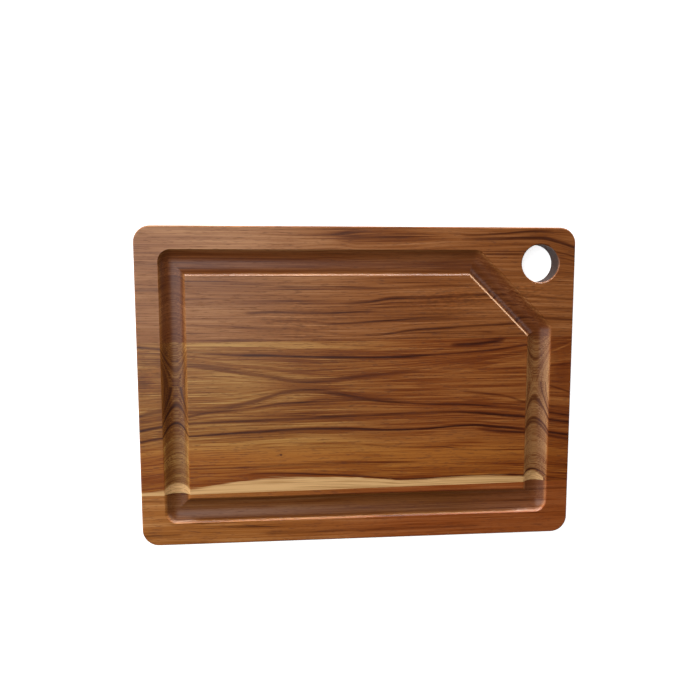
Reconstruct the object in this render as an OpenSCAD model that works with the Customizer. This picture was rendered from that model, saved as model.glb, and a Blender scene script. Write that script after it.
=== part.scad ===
// Carving board, glued from three staves, with a round-bottomed juice groove
// and a hanging hole. Millimetres, +Z up, groove side up, origin on the
// underside at the middle of the board. +X runs along the grain and +Y
// towards the edge with the hanging hole.

/* [Board] */
// Length of the board, along the grain
board_l = 400; // [320:1:520]
// Width of the board, across the grain
board_w = 290; // [260:1:380]
// Thickness of the board
board_t = 20; // [16:0.5:40]
// Radius of the four corners, seen from above
corner_r = 15; // [6:0.5:30]
// Radius sanded on every outer edge
edge_r = 1.5; // [0.5:0.1:3]

/* [Staves] */
// Width of the lower stave, on the board's middle line
lower_stave_w = 48.8; // [30:0.1:70]
// Width of the middle stave
middle_stave_w = 139.2; // [90:0.1:160]
// Angle between the glue lines and the long edges, in degrees
glue_skew = 0.5; // [0:0.1:1.5]

/* [Juice groove] */
// Diameter of the round-nosed cutter
cutter_d = 25.4; // [20.2:0.1:32]
// Depth of the groove along its middle
groove_depth = 7; // [4:0.1:10]
// Distance from the board's edge to the middle of the groove
groove_inset = 32; // [26:0.5:45]
// Width of the bevel round the carving field
field_bevel = 1.3; // [0.4:0.1:2]

/* [Hanging hole] */
// Diameter of the hole
hole_d = 35; // [20:0.5:45]
// Distance from both nearest edges to the middle of the hole
hole_inset = 33; // [28:0.5:45]
// Wood left between the hole and the groove that passes it
hole_web = 14.2; // [8:0.1:30]
// Bevel on both rims of the hole
hole_bevel = 0.8; // [0.2:0.1:1.5]

/* [Hidden] */

$fn = 96;
// How far a cutting shape reaches past the wood that it cuts
overrun = 1;

upper_wood = "peru";
middle_wood = "chocolate";
lower_wood = "sienna";

// The groove's section is a shallow arc of the cutter's ball
cutter_r = cutter_d / 2;
cutter_z = board_t - groove_depth + cutter_r;
groove_half_w = groove_half_width(0);

// How much more the ball takes away where it dwells at a corner
corner_dwell = 0.03;

// Middle of the hanging hole
hole_x = board_l / 2 - hole_inset;
hole_y = board_w / 2 - hole_inset;

// The groove's middle line runs round the board clockwise from the upper left
// corner. It cuts off the corner with the hanging hole at 45 degrees, and
// corner_leg is what it takes from each side there.
path_x = board_l / 2 - groove_inset;
path_y = board_w / 2 - groove_inset;
hole_to_path = hole_d / 2 + hole_web + groove_half_w;
corner_leg = 2 * (hole_inset - groove_inset) + sqrt(2) * hole_to_path;
groove_path = [
    [-path_x, path_y],
    [path_x - corner_leg, path_y],
    [path_x, path_y - corner_leg],
    [path_x, -path_y],
    [-path_x, -path_y]
];

// The run that cuts off the corner, and how much wider its bevel is than the
// others. The difference keeps the faces at the run's ends from all meeting
// in one point.
cut_off_run = 1;
cut_off_extra = 0.1;

// Glue lines, as heights above the lower edge on the board's middle line
lower_joint_y = lower_stave_w - board_w / 2;
upper_joint_y = lower_joint_y + middle_stave_w;

// Half the groove's width at a depth below the face
function groove_half_width(depth) = sqrt(pow(cutter_r, 2) - pow(cutter_z - board_t + depth, 2));

// A point of the closed groove path, and its direction from there in degrees
function point(i) = groove_path[i % len(groove_path)];
function run_length(i) = norm(point(i + 1) - point(i));
function heading(i) = atan2(point(i + 1).y - point(i).y, point(i + 1).x - point(i).x);

// A rectangle of the board's thickness with its corners rounded like the edges
module edge_section(width) {
    union() {
        translate([-width / 2, edge_r]) square([width, board_t - 2 * edge_r]);
        translate([edge_r - width / 2, 0]) square([width - 2 * edge_r, board_t]);
        for (x = [edge_r - width / 2, width / 2 - edge_r], y = [edge_r, board_t - edge_r])
            translate([x, y]) circle(r = edge_r);
    }
}

// A round-edged bar of a given width that runs along X
module round_edged_bar(length, width) {
    rotate([90, 0, 90])
        linear_extrude(height = length, center = true)
            edge_section(width);
}

// A quarter of a round-edged disc, between +X and +Y
module corner_piece() {
    rotate_extrude(angle = 90)
        intersection() {
            edge_section(2 * corner_r);
            square([corner_r, board_t]);
        }
}

// The whole blank, trimmed to size and sanded
module blank() {
    union() {
        round_edged_bar(board_l - 2 * corner_r, board_w);
        rotate([0, 0, 90]) round_edged_bar(board_w - 2 * corner_r, board_l);
        for (i = [0 : 3])
            translate([
                (i == 0 || i == 3 ? 1 : -1) * (board_l / 2 - corner_r),
                (i < 2 ? 1 : -1) * (board_w / 2 - corner_r),
                0
            ])
                rotate([0, 0, 90 * i]) corner_piece();
    }
}

// Places its children at the start of each run of the path, with +X along it.
// The children read the run's number from $run.
module along_path() {
    for ($run = [0 : len(groove_path) - 1])
        translate([point($run).x, point($run).y, 0])
            rotate([0, 0, heading($run)])
                children();
}

// The section of what is cut away along the groove: the cutter, and on the
// field's side the bevel. The bevel's piece is a right triangle whose long
// side is the bevel, and its other two sides are in the air.
module groove_section(bevel) {
    wall_y = groove_half_width(bevel);
    union() {
        translate([0, cutter_z]) circle(r = cutter_r);
        polygon([
            [-wall_y - bevel - overrun, board_t + overrun],
            [overrun - wall_y, board_t - bevel - overrun],
            [overrun - wall_y, board_t + overrun]
        ]);
    }
}

// The groove. Its straight runs meet in sharp mitres at the inner corners,
// and the cutter's ball rounds the outer ones.
module groove_sweep() {
    along_path() {
        rotate([90, 0, 90])
            linear_extrude(height = run_length($run))
                groove_section(field_bevel + ($run == cut_off_run ? cut_off_extra : 0));
        translate([0, 0, cutter_z])
            rotate([90, 0, 0])
                sphere(r = cutter_r + corner_dwell);
    }
}

// The hanging hole, with a bevel on each rim
module hanging_hole() {
    translate([hole_x, hole_y, 0])
        rotate_extrude()
            polygon([
                [0, -overrun],
                [hole_d / 2 + hole_bevel + overrun, -overrun],
                [hole_d / 2, hole_bevel],
                [hole_d / 2, board_t - hole_bevel],
                [hole_d / 2 + hole_bevel + overrun, board_t + overrun],
                [0, board_t + overrun]
            ]);
}

// A band across the whole board between two glue lines, turned by their skew
module stave_band(from_y, to_y) {
    rotate([0, 0, glue_skew])
        translate([-board_l, from_y, -overrun])
            cube([2 * board_l, to_y - from_y, board_t + 2 * overrun]);
}

// The finished board between two glue lines
module stave(from_y, to_y) {
    difference() {
        intersection() {
            blank();
            stave_band(from_y, to_y);
        }
        groove_sweep();
        children();
    }
}

module upper_stave() {
    color(upper_wood)
        stave(upper_joint_y, board_w) hanging_hole();
}

module middle_stave() {
    color(middle_wood)
        stave(lower_joint_y, upper_joint_y);
}

module lower_stave() {
    color(lower_wood)
        stave(-board_w, lower_joint_y);
}

upper_stave();
middle_stave();
lower_stave();
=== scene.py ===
"""Dresses a glued carving board in oiled wood and sets it in a plain white studio.

The board's three staves are the frame's own solids. Each gets a solid wood
that is worked out through its whole thickness, so that the growth rings bend
where the groove, the hole and the rounded edges cut into them. Lengths in the
wood are millimetres, and those of the studio are metres.
"""

import logging
from dataclasses import dataclass
from enum import Enum
from typing import Optional, Union

import bpy
from mathutils import Matrix, Vector

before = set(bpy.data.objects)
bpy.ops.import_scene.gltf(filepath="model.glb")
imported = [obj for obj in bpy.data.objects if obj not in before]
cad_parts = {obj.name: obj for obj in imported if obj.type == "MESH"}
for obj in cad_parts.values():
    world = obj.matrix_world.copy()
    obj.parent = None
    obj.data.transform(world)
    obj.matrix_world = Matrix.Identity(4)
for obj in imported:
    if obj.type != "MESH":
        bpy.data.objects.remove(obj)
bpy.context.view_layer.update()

logging.basicConfig(level=logging.INFO, format="%(message)s")
log = logging.getLogger("board")

Socket = bpy.types.NodeSocket
Number = Union[float, Socket]
Colour = tuple[float, float, float]

# Millimetres in a metre, and the height of the board's face
MILLIMETRES = 1000.0
MIDDLE_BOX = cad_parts["middle_stave"].bound_box
FACE_HEIGHT = round(MILLIMETRES * max(corner[2] for corner in MIDDLE_BOX), 3)

# The charts that lines and strengths are drawn on
CHART_LENGTH = 420.0
CHART_REACH = 160.0
FULL_STRENGTH = 1.5

# Waves that the rings make everywhere: length, width and depth of each, and
# the height of the quick one
SLOW_WAVE = (240.0, 60.0, 70.0)
QUICK_WAVE = (70.0, 14.0, 20.0)
QUICK_HEIGHT = 1.4

# How close to the heart the rings turn over
AT_HEART = 0.01

# How much each layer counts in the wood's tone, and the tone without them
BAND_SHARE = 0.28
RING_SHARE = 0.25
FINE_SHARE = 0.37
PLAIN_TONE = 0.11

# Late wood and streaks: how sharp the late wood is, how much both darken the
# tone, and how much of its own colour a streak has
LATE_SHARPNESS = 20.0
LATE_POWER = 1.5
LATE_DARKNESS = 0.28
STREAK_DARKNESS = 0.50
STREAK_COLOUR = 0.85

# The tones at which the wood has its dark and its middle colour
DARK_STOP = 0.28
MIDDLE_STOP = 0.58

# Length and thickness of the fibres, the pores and the flecks of painted shine
FIBRE = (90.0, 0.8)
PORE = (8.0, 0.7)
FLECK = (5.0, 1.7)

# How pores, flecks and knots stand out. A knot's edges are shares of its radius
PORE_EDGES = (0.57, 0.68)
PORE_DARKNESS = 0.42
FLECK_CONTRAST = 2.2
KNOT_EDGES = (1.3, 0.6)
KNOT_DARKNESS = 0.8

# Where the tints, the painted groove sheen and the painted groove shade change:
# along the board, across it and below the face
DRIFT_SPAN = (-155.0, 75.0)
GROOVE_SHEEN_SPAN = (75.0, 150.0)
WARM_SPAN = (-66.0, -38.0)
FACE_DEPTHS = (1.5, 0.3)
GROOVE_SHADE_DEPTHS = (0.8, 4.0)

# The tint that comes with the low warmth, and no tint
AMBER = (1.02, 0.93, 0.62)
WHITE = (1.0, 1.0, 1.0)

# The sapwood: how far its tip is drawn out below the face, how much the
# fibres mark it, how soft its edges and tips are, and its darker lines
SAP_REACH = 5.0
SAP_FIBRE = 1.5
SAP_FEATHER = 3.0
SAP_EDGE = 0.7
SAP_START_EDGE = 8.0
SAP_END_EDGE = 1.5
SAP_TONES = (0.15, 0.60)
SAP_LINES = (0.66, 0.58, 0.48)

# The painted highlight along the cut-off edge: how far its line reaches, and the depths where it
# fades
HIGHLIGHT_REACH = 0.9
HIGHLIGHT_DEPTHS = (2.4, 1.4)

# End grain: its tint, how far a face is turned to the end, and how upright it is
END_GRAIN = (0.44, 0.46, 0.50)
END_FACING = (0.35, 0.80)
UPRIGHT = (0.35, 0.10)

# The floor lies a tenth of a millimetre under the board, and glows for the
# camera only. The room's light is weak on the board and full for the camera.
FLOOR_GAP = 0.0001
FLOOR_WHITE = 0.86
FLOOR_GLOW = 0.80
ROOM_LIGHT = 0.05


def from_srgb(red: int, green: int, blue: int) -> Colour:
    """Turns a screen colour into the linear colour that the shaders take.

    Args:
        red: Red, from 0 to 255.
        green: Green, from 0 to 255.
        blue: Blue, from 0 to 255.

    Returns:
        The linear colour.
    """
    def linear(part: int) -> float:
        """Returns one part of the colour, made linear."""
        share = part / 255
        return share / 12.92 if share <= 0.04045 else ((share + 0.055) / 1.055) ** 2.4

    return linear(red), linear(green), linear(blue)


class Stave(Enum):
    """The three staves, by the name of the solid that each one dresses."""

    UPPER = "upper_stave"
    MIDDLE = "middle_stave"
    LOWER = "lower_stave"


class Sheet:
    """Lays out the nodes of one material, from left to right."""

    def __init__(self, name: str) -> None:
        """Starts an empty material.

        Args:
            name: The material's name.
        """
        self.material = bpy.data.materials.new(name)
        self.material.use_nodes = True
        self.tree = self.material.node_tree
        self.tree.nodes.clear()
        self.count = 0

    def node(self, kind: str) -> bpy.types.Node:
        """Adds a node.

        Args:
            kind: The node's kind.

        Returns:
            The node.
        """
        made = self.tree.nodes.new(kind)
        made.location = (180 * (self.count % 40), -220 * (self.count // 40))
        self.count += 1
        return made

    def feed(self, socket: Socket, source: Union[Number, Colour]) -> None:
        """Links a source into a socket, or sets a plain value on it.

        Args:
            socket: The socket that takes the source.
            source: Another node's output, a number or a colour.
        """
        if isinstance(source, bpy.types.NodeSocket):
            self.tree.links.new(source, socket)
        elif socket.type == "RGBA":
            socket.default_value = (*source, 1)
        else:
            socket.default_value = source

    def math(self, operation: str, *parts: Number, clamp: bool = False) -> Socket:
        """Adds one step of arithmetic.

        Args:
            operation: The step's name, such as ADD.
            parts: What it works on, in order.
            clamp: Whether the answer is kept from 0 to 1.

        Returns:
            The answer.
        """
        made = self.node("ShaderNodeMath")
        made.operation = operation
        made.use_clamp = clamp
        for socket, part in zip(made.inputs, parts):
            self.feed(socket, part)
        return made.outputs[0]

    def total(self, *parts: Number) -> Socket:
        """Adds up several parts.

        Args:
            parts: The parts.

        Returns:
            Their sum.
        """
        answer = parts[0]
        for part in parts[1:]:
            answer = self.math("ADD", answer, part)
        return answer

    def swing(self, value: Socket, size: Number) -> Socket:
        """Returns how far a value is from 0.5, times a size."""
        return self.math("MULTIPLY", self.math("SUBTRACT", value, 0.5), size)

    def place(self, x: Number, y: Number, z: Number) -> Socket:
        """Puts three parts together.

        Args:
            x: The first part.
            y: The second part.
            z: The third part.

        Returns:
            The vector.
        """
        made = self.node("ShaderNodeCombineXYZ")
        for socket, part in zip(made.inputs, (x, y, z)):
            self.feed(socket, part)
        return made.outputs[0]

    def noise(self, where: Socket, detail: float) -> Socket:
        """Adds a cloudy pattern.

        Args:
            where: The place, already divided by the size of the clouds.
            detail: How many finer clouds are added.

        Returns:
            A value around 0.5.
        """
        made = self.node("ShaderNodeTexNoise")
        self.feed(made.inputs["Vector"], where)
        made.inputs["Scale"].default_value = 1
        made.inputs["Detail"].default_value = detail
        made.inputs["Roughness"].default_value = 0.5
        return made.outputs["Fac"]

    def span(self, value: Socket, low: float, high: float, to: tuple[float, float] = (0, 1),
             smooth: bool = True) -> Socket:
        """Stretches a value from one span to another and holds it at the ends.

        Args:
            value: The value.
            low: What becomes the first end.
            high: What becomes the second end.
            to: The two ends.
            smooth: Whether the change eases in and out.

        Returns:
            The stretched value.
        """
        made = self.node("ShaderNodeMapRange")
        made.interpolation_type = "SMOOTHSTEP" if smooth else "LINEAR"
        for name, part in (("Value", value), ("From Min", low), ("From Max", high),
                           ("To Min", to[0]), ("To Max", to[1])):
            self.feed(made.inputs[name], part)
        return made.outputs[0]

    def bell(self, distance: Socket, reach: float) -> Socket:
        """Turns a distance into a soft line.

        Args:
            distance: The distance from the line's middle.
            reach: How far the line reaches to each side.

        Returns:
            1 in the middle, which fades like a bell over the reach.
        """
        share = self.math("DIVIDE", distance, reach)
        squared = self.math("MULTIPLY", share, share)
        return self.math("EXPONENT", self.math("MULTIPLY", squared, -1.0))

    def ramp(self, value: Socket, stops: tuple[tuple[float, Colour], ...]) -> Socket:
        """Colours a value.

        Args:
            value: The value, from 0 to 1.
            stops: Places along the span, each with its colour.

        Returns:
            The colour.
        """
        made = self.node("ShaderNodeValToRGB")
        elements = made.color_ramp.elements
        while len(elements) < len(stops):
            elements.new(0.5)
        for element, (where, colour) in zip(elements, stops):
            element.position = where
            element.color = (*colour, 1)
        self.feed(made.inputs[0], value)
        return made.outputs[0]

    def curve(self, x: Socket, points: tuple[tuple[float, float], ...], reach: float) -> Socket:
        """Draws a curve over the board's length.

        Args:
            x: Place along the board, in millimetres.
            points: Places along it, each with its value.
            reach: The furthest that a value lies from 0.

        Returns:
            The curve's value. Past its ends it stays as it is there.
        """
        made = self.node("ShaderNodeFloatCurve")
        drawn = made.mapping.curves[0].points
        places = [(along / CHART_LENGTH + 0.5, value / (2 * reach) + 0.5)
                  for along, value in points]
        drawn[0].location, drawn[1].location = places[0], places[-1]
        for place in places[1:-1]:
            drawn.new(*place)
        for point in drawn:
            point.handle_type = "AUTO_CLAMPED"
        made.mapping.extend = "HORIZONTAL"
        made.mapping.update()
        self.feed(made.inputs["Value"], self.math("MULTIPLY_ADD", x, 1 / CHART_LENGTH, 0.5))
        return self.math("MULTIPLY_ADD", made.outputs[0], 2 * reach, -reach)

    def mix(self, share: Number, first: Union[Socket, Colour], second: Union[Socket, Colour],
            way: str = "MIX") -> Socket:
        """Mixes two colours.

        Args:
            share: How much of the second colour, from 0 to 1.
            first: The first colour.
            second: The second colour.
            way: The way of mixing, such as MIX or MULTIPLY.

        Returns:
            The mixed colour.
        """
        made = self.node("ShaderNodeMix")
        made.data_type = "RGBA"
        made.blend_type = way
        made.clamp_factor = True
        self.feed(made.inputs[0], share)
        self.feed(made.inputs[6], first)
        self.feed(made.inputs[7], second)
        return made.outputs[2]

    def stain(self, colour: Socket, tint: Union[Socket, Colour]) -> Socket:
        """Returns a colour multiplied by a tint."""
        return self.mix(1.0, colour, tint, "MULTIPLY")


@dataclass(frozen=True)
class Patch:
    """A soft oval place on the face, in millimetres.

    The lift is how much paler the colour is there, from 0 to 1. A patch that is
    darker has a lift under 0. Most patches are the wood's own tone, and three
    in the middle stave are painted light, painted shade and a painted highlight.
    """

    x: float
    y: float
    reach_x: float
    reach_y: float
    lift: float


@dataclass(frozen=True)
class Line:
    """A line along the face, through a few points from left to right."""

    points: tuple[tuple[float, float], ...]


@dataclass(frozen=True)
class Guide:
    """A line that a growth ring makes on the face.

    The ring is its number, counted in millimetres. The rings between two
    guides are spread between their lines.
    """

    ring: float
    line: Line


@dataclass(frozen=True)
class Streak:
    """A dark or pale line of the figure.

    The strengths are places along the board, each with how dark the streak is
    there. A strength under 0 makes it pale.
    """

    half_width: float
    line: Line
    strengths: tuple[tuple[float, float], ...]


@dataclass(frozen=True)
class Knot:
    """A pin knot, dark and round."""

    x: float
    y: float
    radius: float


@dataclass(frozen=True)
class Curl:
    """A patch where the fibres ripple, with short flecks of painted shine."""

    x: float
    y: float
    reach_x: float
    reach_y: float
    strength: float


@dataclass(frozen=True)
class Sapwood:
    """The pale strip of sapwood along the lower edge of a stave.

    It ends with a soft tip at each end.
    """

    edge: Line
    start: float
    end: float
    colour: Colour


@dataclass(frozen=True)
class ArrisHighlight:
    """A painted highlight along the cut-off run: a pale line that stands for the light its edge
    catches.

    The edge runs down to the right at 45 degrees, so its x and y have the same
    total all along. It starts and ends at two places along the board.
    """

    total: float
    start: float
    end: float
    colour: Colour


@dataclass(frozen=True)
class Clouds:
    """One layer of clouds, drawn out along the rings.

    The width is in millimetres, or in ring widths where it goes by the ring.
    The shift keeps one layer from following another. The clouds between low
    and high are stretched to the two ends.
    """

    length: float
    width: float
    shift: float
    detail: float
    low: float = 0.0
    high: float = 1.0
    ends: tuple[float, float] = (0, 1)
    by_ring: bool = False
    smooth: bool = True


BANDS = Clouds(170, 12, 3.1, 1.0, 0.30, 0.66, smooth=False)
RINGS = Clouds(120, 1.0, 7.7, 3.0, 0.30, 0.68, by_ring=True, smooth=False)
FINE_LINES = Clouds(110, 1 / 2.4, 11.3, 3.0, 0.30, 0.70, by_ring=True, smooth=False)
LATE_WOOD = Clouds(240, 2.4, 17.9, 2.0, by_ring=True)
LATE_PATCHES = Clouds(80, 14, 23.0, 1.0, 0.42, 0.60)
STREAK_BREAKS = Clouds(40, 2.0, 29.0, 2.0, 0.32, 0.58, (0.60, 1.15))
BUSY_PATCHES = Clouds(60, 9, 37.0, 1.0, 0.38, 0.62, (0.45, 1.45))


@dataclass(frozen=True)
class Tones:
    """The colours of one stave's wood, from its darkest rings to its palest.

    The colours are multiplied by the gold at the stave's left end and by the
    drift at its right end. Deep in the groove the gold goes on, and turns at
    the right end to the groove sheen, a painted bluish sheen. The groove shade
    is painted shade that darkens the groove.
    """

    dark: Colour
    middle: Colour
    pale: Colour
    streak: Colour
    gold: Colour = (1.0, 1.22, 1.28)
    drift: Colour = (0.73, 0.59, 0.51)
    groove_sheen: Colour = (1.12, 1.30, 1.80)
    groove_shade: Colour = (0.70, 0.63, 0.57)


@dataclass(frozen=True)
class Oil:
    """The film of oil on the wood, duller over fibres, pores and the groove."""

    roughness: float = 0.25
    fibre_roughness: float = 0.12
    pore_roughness: float = 0.15
    groove_roughness: float = 0.04
    ior: float = 1.42
    bump_strength: float = 0.16
    bump_height: float = 0.00012


@dataclass(frozen=True)
class Place:
    """A place in the board, in millimetres, on the sheet of one material."""

    sheet: Sheet
    x: Socket
    y: Socket
    z: Socket
    depth: Socket

    @classmethod
    def on(cls, sheet: Sheet) -> "Place":
        """Reads the place from the solid's own coordinates.

        Args:
            sheet: The material's sheet.

        Returns:
            The place.
        """
        own = sheet.node("ShaderNodeTexCoord").outputs["Object"]
        split = sheet.node("ShaderNodeSeparateXYZ")
        sheet.feed(split.inputs[0], own)
        x, y, z = (sheet.math("MULTIPLY", split.outputs[i], MILLIMETRES) for i in range(3))
        return cls(sheet, x, y, z, sheet.math("SUBTRACT", FACE_HEIGHT, z))

    def fibres(self, length: float, thickness: float) -> Socket:
        """Adds clouds drawn out along the grain.

        Args:
            length: Their length.
            thickness: Their thickness.

        Returns:
            The clouds, around 0.5.
        """
        return self.sheet.noise(self.sheet.place(
            self.sheet.math("MULTIPLY", self.x, 1 / length),
            self.sheet.math("MULTIPLY", self.y, 1 / thickness),
            self.sheet.math("MULTIPLY", self.z, 1 / thickness)), 1.0)

    def reaches(self, value: Socket, middle: float, reach: float = 1.0) -> Socket:
        """Returns the squared distance from the middle, counted in reaches."""
        share = self.sheet.math("DIVIDE", self.sheet.math("SUBTRACT", value, middle), reach)
        return self.sheet.math("MULTIPLY", share, share)

    def near(self, spot: Union[Patch, Curl]) -> Socket:
        """Adds a soft oval.

        Args:
            spot: Its middle and its reach.

        Returns:
            1 in the middle, which fades over the reach.
        """
        away = self.sheet.math("ADD", self.reaches(self.y, spot.y, spot.reach_y),
                               self.reaches(self.x, spot.x, spot.reach_x))
        return self.sheet.math("EXPONENT", self.sheet.math("MULTIPLY", away, -1.0))


@dataclass(frozen=True)
class Grain:
    """The growth rings at a place.

    The level is the height across the board at which the ring meets the face,
    and the ring is its number. The heights are those of the drawn lines.
    """

    level: Socket
    ring: Socket
    heights: dict[Line, Socket]


@dataclass(frozen=True)
class Figure:
    """What the wood shows at a place.

    The tone is how pale it is, from 0 to 1. The shade is the darkness of the
    streaks. The fine lines and the fibres are values around 0.5.
    """

    tone: Socket
    shade: Socket
    fine: Socket
    fibre: Socket


@dataclass(frozen=True)
class OiledWood:
    """Solid oiled wood for one stave, worked out from its place in the board.

    Grain runs along X. Each place below the face is first carried up its
    growth ring to the face, and the height there says which ring it is in. The
    rings are flat sheets that rise with depth, or arcs round a pith that lies
    over the face at the height of the heart. The low warmth is how much of the
    drift the lower edge of the stave has, and with it comes an amber tint.
    """

    name: str
    seed: float
    tones: Tones
    rise_with_depth: float
    wave_height: float
    ring_width: float
    oil: Oil = Oil()
    fibre_strength: float = 1.10
    low_warmth: float = 0.0
    heart: float = 0.0
    pith_height: float = 0.0
    guides: tuple[Guide, ...] = ()
    patches: tuple[Patch, ...] = ()
    streaks: tuple[Streak, ...] = ()
    knots: tuple[Knot, ...] = ()
    curls: tuple[Curl, ...] = ()
    sapwood: Optional[Sapwood] = None
    arris_highlight: Optional[ArrisHighlight] = None

    def make(self) -> bpy.types.Material:
        """Builds the material.

        Returns:
            The material.
        """
        sheet = Sheet(self.name)
        place = Place.on(sheet)
        grain = self.grain(place)
        figure = self.figure(place, grain)
        colour = sheet.ramp(figure.tone, (
            (0.0, self.tones.streak), (DARK_STOP, self.tones.dark),
            (MIDDLE_STOP, self.tones.middle), (1.0, self.tones.pale)))
        colour = sheet.mix(sheet.math("MULTIPLY", figure.shade, STREAK_COLOUR, clamp=True),
                           colour, self.tones.streak)
        # Painted shade: the colour is darkened deeper in the groove
        groove_shaded = sheet.stain(colour, self.tones.groove_shade)
        below = sheet.span(place.depth, *GROOVE_SHADE_DEPTHS)
        colour = self.tinted(place, sheet.mix(below, colour, groove_shaded))
        for knot in self.knots:
            colour = self.with_knot(place, colour, knot)
        pores = sheet.span(place.fibres(*PORE), *PORE_EDGES)
        colour = sheet.mix(sheet.math("MULTIPLY", pores, PORE_DARKNESS), colour,
                           self.tones.streak)
        if self.sapwood:
            colour = self.with_sapwood(place, grain, figure, colour)
        # A painted highlight along the cut-off edge
        if self.arris_highlight:
            colour = self.with_arris_highlight(place, colour)
        colour = self.with_end_grain(sheet, colour)
        # Painted shine where the fibres ripple
        if self.curls:
            colour = self.with_flecks(place, colour)
        self.put_oil(sheet, colour, figure.fibre, pores, below)
        return sheet.material

    def grain(self, place: Place) -> Grain:
        """Works out the growth rings.

        Args:
            place: The place in the board.

        Returns:
            The rings there.
        """
        sheet = place.sheet
        slow = self.wave(place, SLOW_WAVE, self.seed, self.seed * 1.7)
        quick = self.wave(place, QUICK_WAVE, self.seed * 2.3, self.seed)
        flat = sheet.total(place.y, sheet.math("MULTIPLY", place.depth, -self.rise_with_depth),
                           sheet.swing(slow, self.wave_height), sheet.swing(quick, QUICK_HEIGHT))
        level = self.on_the_face(sheet, flat, place.depth) if self.pith_height else flat
        lines = dict.fromkeys([guide.line for guide in self.guides]
                              + [streak.line for streak in self.streaks])
        heights = {line: sheet.curve(place.x, line.points, CHART_REACH) for line in lines}
        ring = self.between_guides(sheet, heights, level) if self.guides else level
        return Grain(level, ring, heights)

    def wave(self, place: Place, size: tuple[float, float, float], shift_x: float,
             shift_y: float) -> Socket:
        """Returns wide clouds.

        Args:
            place: The place in the board.
            size: Their length, width and depth.
            shift_x: How far they are moved along the board, in lengths.
            shift_y: How far they are moved across it, in widths.

        Returns:
            The clouds, around 0.5.
        """
        sheet = place.sheet
        length, width, depth = size
        return sheet.noise(sheet.place(
            sheet.math("MULTIPLY_ADD", place.x, 1 / length, shift_x),
            sheet.math("MULTIPLY_ADD", place.y, 1 / width, shift_y),
            sheet.math("MULTIPLY", place.z, 1 / depth)), 1.0)

    def on_the_face(self, sheet: Sheet, flat: Socket, depth: Socket) -> Socket:
        """Carries a place up its growth ring to the face.

        Args:
            sheet: The material's sheet.
            flat: Height across the board.
            depth: Depth below the face.

        Returns:
            The height across the board at which the ring meets the face.
        """
        across = sheet.math("SUBTRACT", flat, self.heart)
        far = sheet.math("SQRT", sheet.math("MAXIMUM", sheet.math(
            "ADD", sheet.math("MULTIPLY", across, across),
            sheet.math("MULTIPLY", depth, 2 * self.pith_height)), 0.0))
        side = sheet.span(across, -AT_HEART, AT_HEART, (-1.0, 1.0), smooth=False)
        return sheet.math("MULTIPLY_ADD", far, side, self.heart)

    def between_guides(self, sheet: Sheet, heights: dict[Line, Socket], level: Socket) -> Socket:
        """Works out which ring a place on the face is in.

        Args:
            sheet: The material's sheet.
            heights: Each line's height across the board.
            level: Height across the board, on the face.

        Returns:
            The ring. Past the outermost guides it stays as it is there.
        """
        ring: Number = self.guides[0].ring
        below = heights[self.guides[0].line]
        for lower, upper in zip(self.guides, self.guides[1:]):
            above = heights[upper.line]
            share = sheet.math("DIVIDE", sheet.math("SUBTRACT", level, below),
                               sheet.math("SUBTRACT", above, below), clamp=True)
            ring = sheet.math("MULTIPLY_ADD", share, upper.ring - lower.ring, ring)
            below = above
        return ring

    def clouds(self, place: Place, grain: Grain, layer: Clouds) -> Socket:
        """Adds a layer of clouds that follows the rings.

        Args:
            place: The place in the board.
            grain: The rings there.
            layer: The layer.

        Returns:
            The clouds as they are, around 0.5.
        """
        sheet = place.sheet
        width = layer.width * self.ring_width if layer.by_ring else layer.width
        return sheet.noise(sheet.place(
            sheet.math("MULTIPLY_ADD", place.x, 1 / layer.length, self.seed + layer.shift),
            sheet.math("MULTIPLY_ADD", grain.ring, 1 / width, layer.shift),
            self.seed), layer.detail)

    def layer(self, place: Place, grain: Grain, layer: Clouds) -> Socket:
        """Returns a layer of clouds, stretched between its ends."""
        return place.sheet.span(self.clouds(place, grain, layer), layer.low, layer.high,
                                layer.ends, layer.smooth)

    def figure(self, place: Place, grain: Grain) -> Figure:
        """Works out the bands, rings, fine lines, fibres, patches and streaks.

        Args:
            place: The place in the board.
            grain: The rings there.

        Returns:
            The figure there.
        """
        sheet = place.sheet
        bands = self.layer(place, grain, BANDS)
        rings = self.layer(place, grain, RINGS)
        fine = self.layer(place, grain, FINE_LINES)
        tone = sheet.total(
            sheet.math("MULTIPLY", bands, BAND_SHARE),
            sheet.math("MULTIPLY", rings, RING_SHARE),
            sheet.math("MULTIPLY", fine, FINE_SHARE),
            PLAIN_TONE)
        late = self.late_wood(place, grain)
        fibre = place.fibres(*FIBRE)
        busy = self.layer(place, grain, BUSY_PATCHES)
        tone = sheet.math("ADD", tone, sheet.math(
            "MULTIPLY", sheet.swing(fibre, busy), self.fibre_strength))
        for patch in self.patches:
            tone = sheet.math("ADD", tone, sheet.math("MULTIPLY", place.near(patch), patch.lift))
        shade = self.shade(place, grain)
        tone = sheet.math("SUBTRACT", tone, sheet.math("MULTIPLY", shade, STREAK_DARKNESS))
        tone = sheet.math("SUBTRACT", tone, sheet.math("MULTIPLY", late, LATE_DARKNESS),
                          clamp=True)
        return Figure(tone, shade, fine, fibre)

    def late_wood(self, place: Place, grain: Grain) -> Socket:
        """Works out the thin dark lines of late wood, strong in some patches only.

        Args:
            place: The place in the board.
            grain: The rings there.

        Returns:
            The lines, from 0 to 1.
        """
        sheet = place.sheet
        ridge = sheet.math("SUBTRACT", 1.0, sheet.math("ABSOLUTE", sheet.math(
            "MULTIPLY_ADD", self.clouds(place, grain, LATE_WOOD),
            LATE_SHARPNESS, -LATE_SHARPNESS / 2)), clamp=True)
        return sheet.math("MULTIPLY", sheet.math("POWER", ridge, LATE_POWER),
                          self.layer(place, grain, LATE_PATCHES))

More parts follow.
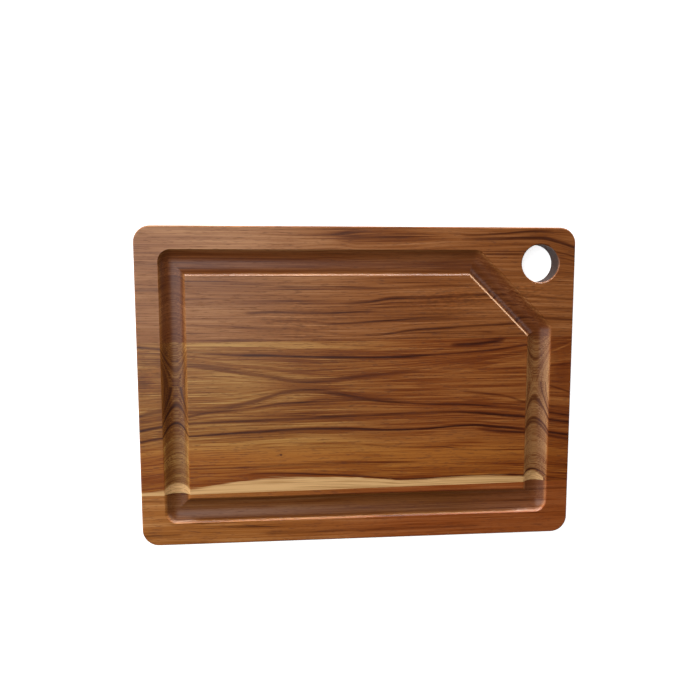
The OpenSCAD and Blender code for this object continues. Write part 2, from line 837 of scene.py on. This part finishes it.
    def shade(self, place: Place, grain: Grain) -> Socket:
        """Works out how dark the streaks are, each broken up a little.

        Args:
            place: The place in the board.
            grain: The rings there.

        Returns:
            The darkness of the streaks.
        """
        sheet = place.sheet
        breaks = self.layer(place, grain, STREAK_BREAKS)
        shade: Number = 0.0
        for streak in self.streaks:
            away = sheet.math("SUBTRACT", grain.level, grain.heights[streak.line])
            line = sheet.bell(away, streak.half_width)
            strength = sheet.curve(place.x, streak.strengths, FULL_STRENGTH)
            shade = sheet.math("MULTIPLY_ADD", line, strength, shade)
        return sheet.math("MULTIPLY", shade, breaks)

    def tinted(self, place: Place, colour: Socket) -> Socket:
        """Gives the wood its tints over the board, and a painted bluish sheen deep in the right
        end of the groove.

        Args:
            place: The place in the board.
            colour: The colour without them.

        Returns:
            The tinted colour.
        """
        sheet = place.sheet
        # Deep in the groove the tint turns from gold to a painted bluish sheen at the right end
        on_face = sheet.span(place.depth, *FACE_DEPTHS)
        warm = sheet.math("MAXIMUM", sheet.span(place.x, *DRIFT_SPAN),
                          sheet.span(place.y, *WARM_SPAN, (self.low_warmth, 0.0)))
        deep = sheet.mix(sheet.span(place.x, *GROOVE_SHEEN_SPAN), self.tones.gold, self.tones.groove_sheen)
        tint = sheet.mix(sheet.math("MULTIPLY", warm, on_face), deep, self.tones.drift)
        colour = sheet.stain(colour, tint)
        if self.low_warmth:
            low = sheet.math("MULTIPLY", sheet.span(place.y, *WARM_SPAN, (1.0, 0.0)), on_face)
            colour = sheet.stain(colour, sheet.mix(low, WHITE, AMBER))
        return colour

    def with_knot(self, place: Place, colour: Socket, knot: Knot) -> Socket:
        """Lays a pin knot over the wood.

        Args:
            place: The place in the board.
            colour: The colour without the knot.
            knot: The knot.

        Returns:
            The colour with the knot.
        """
        sheet = place.sheet
        away = sheet.math("POWER", sheet.math("ADD", place.reaches(place.x, knot.x),
                                              place.reaches(place.y, knot.y)), 0.5)
        spot = sheet.span(away, *(knot.radius * edge for edge in KNOT_EDGES))
        return sheet.mix(sheet.math("MULTIPLY", spot, KNOT_DARKNESS), colour, self.tones.streak)

    def with_sapwood(self, place: Place, grain: Grain, figure: Figure, colour: Socket) -> Socket:
        """Lays the pale strip of sapwood over the wood.

        Args:
            place: The place in the board.
            grain: The rings there.
            figure: The figure there.
            colour: The colour without the strip.

        Returns:
            The colour with the strip.
        """
        sheet, sap = place.sheet, self.sapwood
        lines = sheet.math("MULTIPLY_ADD", sheet.math("SUBTRACT", figure.fibre, 0.5), SAP_FIBRE,
                           figure.fine)
        above = sheet.math("SUBTRACT", grain.level,
                           sheet.curve(place.x, sap.edge.points, CHART_REACH))
        inside = sheet.span(sheet.math("ADD", above, sheet.swing(lines, SAP_FEATHER)),
                            SAP_EDGE, -SAP_EDGE)
        begins = sheet.span(place.x, sap.start - SAP_START_EDGE, sap.start + SAP_START_EDGE)
        ends = sheet.span(sheet.math("MULTIPLY_ADD", place.depth, -SAP_REACH, place.x),
                          sap.end + SAP_END_EDGE, sap.end - SAP_END_EDGE)
        along = sheet.math("MULTIPLY", begins, ends)
        golden = tuple(part * share for part, share in zip(sap.colour, SAP_LINES))
        pale = sheet.mix(sheet.span(lines, *SAP_TONES, smooth=False), golden, sap.colour)
        return sheet.mix(sheet.math("MULTIPLY", inside, along), colour, pale)

    def with_arris_highlight(self, place: Place, colour: Socket) -> Socket:
        """Lays the painted highlight along the cut-off edge over the wood.

        Args:
            place: The place in the board.
            colour: The colour without the line.

        Returns:
            The colour with the line.
        """
        sheet, edge = place.sheet, self.arris_highlight
        away = sheet.math("SUBTRACT", sheet.math("ADD", place.x, place.y), edge.total)
        line = sheet.bell(away, HIGHLIGHT_REACH)
        along = sheet.math("MULTIPLY", sheet.span(place.x, edge.start - 1, edge.start + 1),
                           sheet.span(place.x, edge.end + 1, edge.end - 1))
        share = sheet.math("MULTIPLY", sheet.math("MULTIPLY", line, along),
                           sheet.span(place.depth, *HIGHLIGHT_DEPTHS))
        return sheet.mix(share, colour, edge.colour)

    def with_end_grain(self, sheet: Sheet, colour: Socket) -> Socket:
        """Darkens the upright end faces, whose grain drinks more oil.

        Args:
            sheet: The material's sheet.
            colour: The colour without the end grain.

        Returns:
            The colour with it.
        """
        facing = sheet.node("ShaderNodeSeparateXYZ")
        sheet.feed(facing.inputs[0], sheet.node("ShaderNodeNewGeometry").outputs["True Normal"])
        ends = sheet.math(
            "MULTIPLY",
            sheet.span(sheet.math("ABSOLUTE", facing.outputs[0]), *END_FACING),
            sheet.span(sheet.math("ABSOLUTE", facing.outputs[2]), *UPRIGHT))
        return sheet.mix(ends, colour, sheet.stain(colour, END_GRAIN))

    def with_flecks(self, place: Place, colour: Socket) -> Socket:
        """Adds short flecks of painted shine where the fibres ripple.

        Args:
            place: The place in the board.
            colour: The colour without them.

        Returns:
            The colour with them.
        """
        sheet = place.sheet
        flecks = place.fibres(*FLECK)
        ripple: Number = 0.0
        for curl in self.curls:
            ripple = sheet.math("ADD", ripple, sheet.math(
                "MULTIPLY", place.near(curl), curl.strength))
        lift = sheet.math("MULTIPLY_ADD", sheet.swing(flecks, ripple), FLECK_CONTRAST, 1.0)
        return sheet.stain(colour, sheet.place(lift, lift, lift))

    def put_oil(self, sheet: Sheet, colour: Socket, fibre: Socket, pores: Socket,
                below: Socket) -> None:
        """Puts the oiled surface on the material.

        Args:
            sheet: The material's sheet.
            colour: The wood's colour.
            fibre: The fibres, around 0.5.
            pores: The pores, 1 in each.
            below: How far below the face it is, from 0 to 1.
        """
        oil = self.oil
        shader = sheet.node("ShaderNodeBsdfPrincipled")
        sheet.feed(shader.inputs["Base Color"], colour)
        sheet.feed(shader.inputs["Roughness"], sheet.total(
            sheet.math("MULTIPLY_ADD", fibre, oil.fibre_roughness, oil.roughness),
            sheet.math("MULTIPLY", pores, oil.pore_roughness),
            sheet.math("MULTIPLY", below, oil.groove_roughness)))
        shader.inputs["IOR"].default_value = oil.ior
        bump = sheet.node("ShaderNodeBump")
        bump.inputs["Strength"].default_value = oil.bump_strength
        bump.inputs["Distance"].default_value = oil.bump_height
        sheet.feed(bump.inputs["Height"], sheet.math("SUBTRACT", fibre, pores))
        sheet.feed(shader.inputs["Normal"], bump.outputs[0])
        out = sheet.node("ShaderNodeOutputMaterial")
        sheet.feed(out.inputs[0], shader.outputs[0])


# Lines of the upper stave, from the lowest
UPPER_LOW = Line(((-200, 60), (-156, 58), (-110, 55), (-50, 51), (-10, 46.8), (12, 46.8),
                  (25, 47.9), (40, 50.2), (60, 52.2), (100, 54.3), (157, 57), (200, 57)))
UPPER_FIELD = Line(((-200, 66), (-100, 67), (-80, 68), (-40, 67.3), (5, 68), (60, 67),
                    (157, 66), (200, 65)))
UPPER_SWELL = Line(((-200, 76), (-60, 75), (5, 76.5), (28, 80), (60, 80.8), (117, 83), (200, 79)))
UPPER_RIM = Line(((-200, 131), (-60, 131), (-25, 133), (0, 130), (40, 131), (80, 133),
                  (120, 134), (165, 135), (185, 131), (200, 126)))
UPPER_LOBE = Line(((-200, 141), (-25, 138), (0, 142), (40, 142.5), (80, 139.5), (100, 137.5),
                   (130, 139), (160, 141.5), (200, 142)))

UPPER_WOOD = OiledWood(
    name="upper_wood", seed=4.3,
    tones=Tones(dark=from_srgb(122, 67, 26), middle=from_srgb(148, 90, 43),
                pale=from_srgb(179, 122, 74), streak=from_srgb(76, 35, 10),
                gold=(0.95, 0.99, 1.05), drift=(0.90, 0.82, 0.79),
                # The last two tints are a painted bluish sheen and painted shade, both deep in
                # the groove
                groove_sheen=(1.04, 1.06, 1.13), groove_shade=(0.59, 0.45, 0.36)),
    rise_with_depth=0.7, wave_height=2.0, ring_width=2.6,
    guides=(
        Guide(38, Line(((-200, 38), (200, 38)))),
        Guide(52, UPPER_LOW), Guide(67, UPPER_FIELD), Guide(80, UPPER_SWELL),
        Guide(95, Line(((-200, 95), (-60, 93.5), (100, 96), (200, 92)))),
        Guide(131, UPPER_RIM), Guide(140, UPPER_LOBE),
        Guide(150, Line(((-200, 150), (200, 150))))),
    patches=(
        Patch(-110, 136, 85, 11, 0.30), Patch(190, 54, 16, 3.5, 0.20),
        Patch(80, 141.5, 50, 3, 0.22), Patch(25, 136.5, 50, 7, -0.46),
        Patch(-12, 135, 14, 8, -0.22), Patch(70, 129.5, 34, 3, 0.24),
        Patch(175, 140, 28, 5, -0.30)),
    streaks=(
        Streak(0.35, Line(((-157, 41.9), (157, 44.6))),
               ((-158, 0), (-150, 0.5), (150, 0.5), (158, 0))),
        Streak(0.9, UPPER_LOW,
               ((-120, 0), (-105, 0.3), (-10, 0.15), (10, 0.5), (36, 0.85), (150, 0.85),
                (165, 0))),
        Streak(0.8, Line(((-40, 56.8), (5, 58.8), (30, 60.5), (60, 63), (85, 64))),
               ((-40, 0), (-15, 0.5), (25, 0.8), (65, 0.7), (90, 0))),
        Streak(1.0, UPPER_FIELD, ((-105, 0), (-90, 0.7), (0, 0.7), (20, 0.1), (200, 0.1))),
        Streak(0.9, UPPER_SWELL,
               ((-20, 0), (15, 0.7), (110, 0.8), (130, 0.2), (160, 0.5), (200, 0.5))),
        Streak(1.0, Line(((-75, 91.5), (-20, 90.5), (20, 89.5), (60, 91), (105, 92))),
               ((-80, 0), (-60, 0.5), (0, 0.5), (40, 0.2), (80, 0.4), (110, 0))),
        Streak(1.5, UPPER_RIM, ((90, 0), (115, 0.7), (145, 1.1), (160, 1.2), (200, 0.9))),
        Streak(1.0, UPPER_LOBE, ((90, 0), (105, 0.6), (155, 0.7), (180, 0))),
        Streak(1.1, Line(((170, 62), (200, 60))), ((165, 0), (178, 0.7), (200, 0.6))),
        Streak(1.0, Line(((-200, 88), (-180, 88), (115, 120), (200, 119))),
               ((-200, 0.5), (-180, 0.5), (-170, 0), (110, 0), (120, 0.5), (145, 0.4),
                (150, 0))),
        Streak(0.9, Line(((-200, 111), (-180, 111), (155, 71), (200, 70))),
               ((-200, 0.4), (-180, 0.4), (-170, 0), (150, 0), (165, 0.4), (200, 0.4)))),
    curls=(Curl(158, 87, 24, 7, 0.55), Curl(-60, 60, 50, 14, 0.32), Curl(80, 79, 45, 10, 0.60)),
    # A painted highlight along the cut-off edge
    arris_highlight=ArrisHighlight(total=202.2, start=100.5, end=156.5, colour=from_srgb(232, 186, 148)))

# Lines of the middle stave, from the lowest
SAP_EDGE_LINE = Line(((-200, -95.6), (-180, -94), (-156, -93), (-140, -91), (-120, -88),
                      (-100, -85.5), (-80, -84.4), (-30, -84.4), (0, -86), (20, -88),
                      (40, -89.8), (60, -89.3), (80, -88.5), (110, -88.2), (140, -88.6),
                      (157, -89.8), (168, -91.4), (176, -94.0), (182, -97), (200, -100)))
SAP_SHADOW = Line(((-200, -88), (-156, -82), (-90, -79.3), (-60, -80.2), (-30, -82.3),
                   (0, -85), (20, -87), (40, -89), (60, -88.6), (90, -87.5), (120, -87),
                   (157, -88.2), (200, -93)))
MIDDLE_RED = Line(((-200, -79), (-156, -74), (-80, -73), (-40, -72), (60, -73), (157, -74),
                   (200, -79)))
MIDDLE_STRONG = Line(((-200, -48), (-180, -44.5), (-156, -43.5), (-80, -40.2), (-40, -39),
                      (-10, -39.7), (30, -41.3), (60, -41), (85, -39), (105, -38.7),
                      (125, -40.3), (157, -43.8), (200, -50)))
MIDDLE_THIN = Line(((-200, -38), (-180, -34.5), (-156, -32), (-80, -30), (-40, -28.5),
                    (0, -27.3), (80, -25.5), (110, -27), (140, -30), (157, -31.5), (200, -38)))
CROSS_OUTER = Line(((-200, -31), (-156, -25.5), (-140, -22.7), (-100, -19), (-80, -15.8),
                    (-60, -14.4), (-20, -13), (0, -13), (25, -15), (60, -17.4), (100, -19),
                    (157, -24.5), (200, -31)))
CROSS_LOWER = Line(((-200, -24), (-178, -19.5), (-156, -19), (-125, -18), (-105, -15),
                    (-85, -9.5), (-70, -5), (-55, -3.4), (-40, -4), (-20, -7.5), (0, -11),
                    (25, -13.2), (60, -14.6), (100, -15.5), (157, -20), (200, -27)))
CROSS_UPPER = Line(((-200, 24), (-156, 21.5), (-130, 18), (-105, 13.5), (-80, 9.5),
                    (-65, 6.3), (-50, 5.3), (-30, 6), (-5, 8.7), (25, 11.2), (60, 15),
                    (100, 20), (157, 28), (200, 36)))
MIDDLE_TOP = Line(((-200, 38), (-156, 33.5), (-120, 30.5), (-80, 29.3), (-40, 27.3),
                   (0, 26.5), (40, 27), (80, 29), (120, 31.5), (157, 36.5), (200, 43)))

MIDDLE_WOOD = OiledWood(
    name="middle_wood", seed=9.1,
    tones=Tones(dark=from_srgb(119, 60, 22), middle=from_srgb(146, 83, 33),
                pale=from_srgb(190, 131, 70), streak=from_srgb(70, 29, 9)),
    rise_with_depth=0.0, wave_height=1.2, ring_width=2.4, low_warmth=0.90,
    heart=1.0, pith_height=64.0,
    guides=(
        Guide(98, Line(((-200, -102), (200, -102)))),
        Guide(83, SAP_SHADOW), Guide(72, MIDDLE_RED), Guide(41, MIDDLE_STRONG),
        Guide(28, MIDDLE_THIN), Guide(16, CROSS_OUTER), Guide(10, CROSS_LOWER),
        Guide(0, Line(((-200, 1), (200, 1)))),
        Guide(10, CROSS_UPPER), Guide(28, MIDDLE_TOP),
        Guide(44, Line(((-200, 50), (200, 50))))),
    patches=(
        Patch(0, -62, 190, 14, 0.44), Patch(-85, 38.5, 75, 3.0, 0.34),
        Patch(20, 35, 40, 2.5, 0.12), Patch(-125, 5, 50, 26, 0.10),
        Patch(-50, 1, 30, 4, -0.14), Patch(-20, -8, 24, 4, -0.16),
        Patch(-194, 8, 9, 7, -0.28), Patch(192, 14, 10, 14, -0.24),
        Patch(-60, -34, 90, 2, 0.14), Patch(30, -23, 60, 3, 0.12),
        # The next three patches are painted light in the right groove, painted shade on the left
        # groove's outer wall, and a painted highlight along the right groove's outer edge
        Patch(165, -20, 7, 90, 0.30), Patch(-176, 0, 5, 110, -0.20),
        Patch(176, -10, 2.2, 60, 0.35)),
    streaks=(
        Streak(0.9, MIDDLE_TOP,
               ((-200, 0.8), (-178, 0.7), (-160, 0.4), (-112, 0.6), (-95, 1.4), (52, 1.4),
                (75, 0.6), (150, 0.6), (175, 0))),
        Streak(1.9, CROSS_UPPER, ((-200, 0.3), (-60, 0.4), (35, 0.35), (60, 0))),
        Streak(1.9, CROSS_LOWER,
               ((-200, 0.6), (-178, 0.4), (-150, 0.1), (-130, 0.25), (-110, 0.5),
                (-60, 0.45), (-30, 0.35), (15, 0.35), (40, 0))),
        Streak(0.9, CROSS_OUTER,
               ((-178, 0), (-165, 0.6), (-120, 0.5), (-105, 0.2), (-90, 0.4), (-10, 0.45),
                (30, 0.7), (115, 0.6), (140, 0.2), (170, 0.2), (178, 0.6), (200, 0.6))),
        Streak(1.0, Line(((100, -6.5), (120, -8.7), (135, -11), (157, -17.5), (200, -24))),
               ((95, 0), (112, 0.5), (200, 0.5))),
        Streak(1.1, MIDDLE_THIN,
               ((-200, 1.1), (-175, 1.1), (-160, 0.6), (80, 0.6), (98, 0.8), (118, 1.4),
                (152, 1.3), (160, 0.6), (176, 0.6), (184, 1.1), (200, 1.0))),
        Streak(1.0, MIDDLE_STRONG,
               ((-200, 0.9), (-150, 0.8), (-120, 1.25), (152, 1.15), (160, 0.65),
                (176, 0.65), (184, 1.1), (200, 1.1))),
        Streak(1.3, Line(((112, -42), (135, -45), (165, -47.5), (200, -54))),
               ((108, 0), (130, 0.7), (165, 0.7), (200, 0.5))),
        Streak(0.9, MIDDLE_RED, ((-168, 0), (-150, 0.4), (30, 0.45), (60, 0))),
        Streak(0.7, SAP_SHADOW, ((-105, 0), (-85, 0.8), (165, 0.9), (175, 0.4))),
        Streak(0.6, Line(((5, -55), (35, -57.5), (75, -58.5), (100, -61.3), (157, -62.7))),
               ((0, 0), (15, 0.4), (70, 0.3), (100, 0.45), (157, 0.4), (165, 0))),
        Streak(1.7, Line(((84, 37), (110, 38.2), (135, 41.5))),
               ((82, 0), (95, 0.9), (122, 1.0), (136, 0))),
        Streak(0.8, Line(((176, -1), (200, -9))), ((172, 0), (180, 0.5), (200, 0.5))),
        Streak(0.8, Line(((180, 29.5), (200, 38))), ((176, 0), (183, -0.7), (200, -0.5)))),
    knots=(Knot(-73.4, -62.6, 1.1),),
    curls=(Curl(-190, 10, 14, 16, 0.4), Curl(190, 20, 14, 14, 0.3)),
    sapwood=Sapwood(edge=SAP_EDGE_LINE, start=-210, end=160, colour=from_srgb(222, 175, 118)))

LOWER_WOOD = OiledWood(
    name="lower_wood", seed=14.6,
    tones=Tones(dark=from_srgb(145, 75, 24), middle=from_srgb(168, 95, 42),
                pale=from_srgb(192, 124, 72), streak=from_srgb(78, 31, 5),
                # Painted shade deep in the groove
                groove_shade=(0.46, 0.40, 0.38)),
    rise_with_depth=-0.4, wave_height=2.5, ring_width=2.8, fibre_strength=0.85,
    streaks=(
        Streak(1.2, Line(((-157, -102), (200, -101))), ((-165, 0), (-150, 0.4), (200, 0.4))),
        Streak(1.4, Line(((-200, -135.5), (200, -136))),
               ((-195, 0.5), (-170, 0.5), (-160, 0), (-95, 0), (-80, 0.4), (100, 0.35),
                (120, 0))),
        Streak(1.2, Line(((-200, -103), (-180, -103.5))),
               ((-200, 0.4), (-185, 0.4), (-175, 0)))))


@dataclass
class Board:
    """The glued board: three staves, each in its own wood."""

    woods: dict[Stave, OiledWood]

    def dress(self) -> None:
        """Gives each stave its wood and reports it."""
        for stave, wood in self.woods.items():
            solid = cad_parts[stave.value]
            material = wood.make()
            solid.data.materials.clear()
            solid.data.materials.append(material)
            log.info("%s: %s, %d faces", stave.value, material.name, len(solid.data.polygons))


@dataclass(frozen=True)
class SoftLight:
    """A soft rectangular light, in metres and watts.

    A level light faces straight down. The others face the board.
    """

    name: str
    where: tuple[float, float, float]
    size: tuple[float, float]
    power: float
    colour: Colour
    level: bool = False

    def hang(self) -> None:
        """Hangs the light in the studio."""
        lamp = bpy.data.lights.new(self.name, "AREA")
        lamp.shape = "RECTANGLE"
        lamp.size, lamp.size_y = self.size
        lamp.energy = self.power
        lamp.color = self.colour
        hung = bpy.data.objects.new(self.name, lamp)
        hung.location = self.where
        if not self.level:
            hung.rotation_euler = Vector(self.where).to_track_quat("Z", "Y").to_euler()
        bpy.context.scene.collection.objects.link(hung)


LIGHTS = (
    SoftLight("window", (0.00, 2.20, 0.14), (3.8, 0.24), 112.0, (1.0, 0.985, 0.965)),
    SoftLight("overhead", (-1.78, 1.00, 1.80), (3.4, 2.4), 76.0, (0.97, 0.985, 1.0), level=True),
    SoftLight("side", (-2.40, 0.30, 0.75), (2.2, 1.0), 20.0, (0.94, 0.97, 1.0)),
    SoftLight("far side", (1.90, 1.30, 0.70), (1.6, 0.8), 11.0, (0.92, 0.97, 1.05)),
    SoftLight("left", (-2.30, -0.60, 1.80), (2.0, 1.2), 6.0, (0.80, 0.92, 1.15), level=True))


@dataclass
class Studio:
    """The white floor, the room's own light, the soft lights and the camera."""

    lights: tuple[SoftLight, ...]
    floor_size: float = 12.0
    lens: float = 36.23
    sensor: float = 36.0

    def build(self) -> None:
        """Builds all of the studio."""
        self.floor()
        self.world()
        for light in self.lights:
            light.hang()
        self.camera()

    def floor(self) -> None:
        """Lays the floor, which looks white and keeps the board's shadow."""
        bpy.ops.object.select_all(action="DESELECT")
        bpy.ops.mesh.primitive_plane_add(size=self.floor_size, location=(0, 0, -FLOOR_GAP))
        ground = bpy.context.object
        ground.name = "floor"
        sheet = Sheet("white_floor")
        shader = sheet.node("ShaderNodeBsdfDiffuse")
        sheet.feed(shader.inputs["Color"], (FLOOR_WHITE, FLOOR_WHITE, FLOOR_WHITE))
        glow = sheet.node("ShaderNodeEmission")
        sheet.feed(glow.inputs["Strength"], sheet.math(
            "MULTIPLY", sheet.node("ShaderNodeLightPath").outputs["Is Camera Ray"], FLOOR_GLOW))
        joined = sheet.node("ShaderNodeAddShader")
        sheet.feed(joined.inputs[0], shader.outputs[0])
        sheet.feed(joined.inputs[1], glow.outputs[0])
        out = sheet.node("ShaderNodeOutputMaterial")
        sheet.feed(out.inputs[0], joined.outputs[0])
        ground.data.materials.append(sheet.material)
        log.info("floor: %.0f m square", self.floor_size)

    def world(self) -> None:
        """Fills the room with plain light that the camera sees as white."""
        room = bpy.data.worlds.new("room")
        room.use_nodes = True
        tree = room.node_tree
        tree.nodes.clear()
        path = tree.nodes.new("ShaderNodeLightPath")
        strength = tree.nodes.new("ShaderNodeMapRange")
        strength.inputs["To Min"].default_value = ROOM_LIGHT
        strength.inputs["To Max"].default_value = 1.0
        back = tree.nodes.new("ShaderNodeBackground")
        out = tree.nodes.new("ShaderNodeOutputWorld")
        tree.links.new(path.outputs["Is Camera Ray"], strength.inputs["Value"])
        tree.links.new(strength.outputs[0], back.inputs["Strength"])
        back.inputs["Color"].default_value = (*WHITE, 1)
        tree.links.new(back.outputs[0], out.inputs[0])
        bpy.context.scene.world = room

    def camera(self) -> None:
        """Sets up the camera over the board, as the photograph was taken."""
        right = Vector((0.99544, -0.00047, 0.09539))
        down = Vector((-0.01100, -0.99388, 0.10990))
        forward = Vector((0.09475, -0.11044, -0.98936))
        eye = Vector((-0.0706, 0.1045, 0.6552))
        data = bpy.data.cameras.new("camera")
        data.lens = self.lens
        data.sensor_width = self.sensor
        data.clip_end = 100
        view = bpy.data.objects.new("camera", data)
        turn = Matrix((right, -down, -forward)).transposed().to_4x4()
        view.matrix_world = Matrix.Translation(eye) @ turn
        bpy.context.scene.collection.objects.link(view)
        bpy.context.scene.camera = view


def main() -> None:
    """Builds the studio and the board."""
    bpy.context.scene.view_settings.view_transform = "Standard"
    Studio(LIGHTS).build()
    Board({Stave.UPPER: UPPER_WOOD, Stave.MIDDLE: MIDDLE_WOOD, Stave.LOWER: LOWER_WOOD}).dress()


if __name__ == "__main__":
    main()
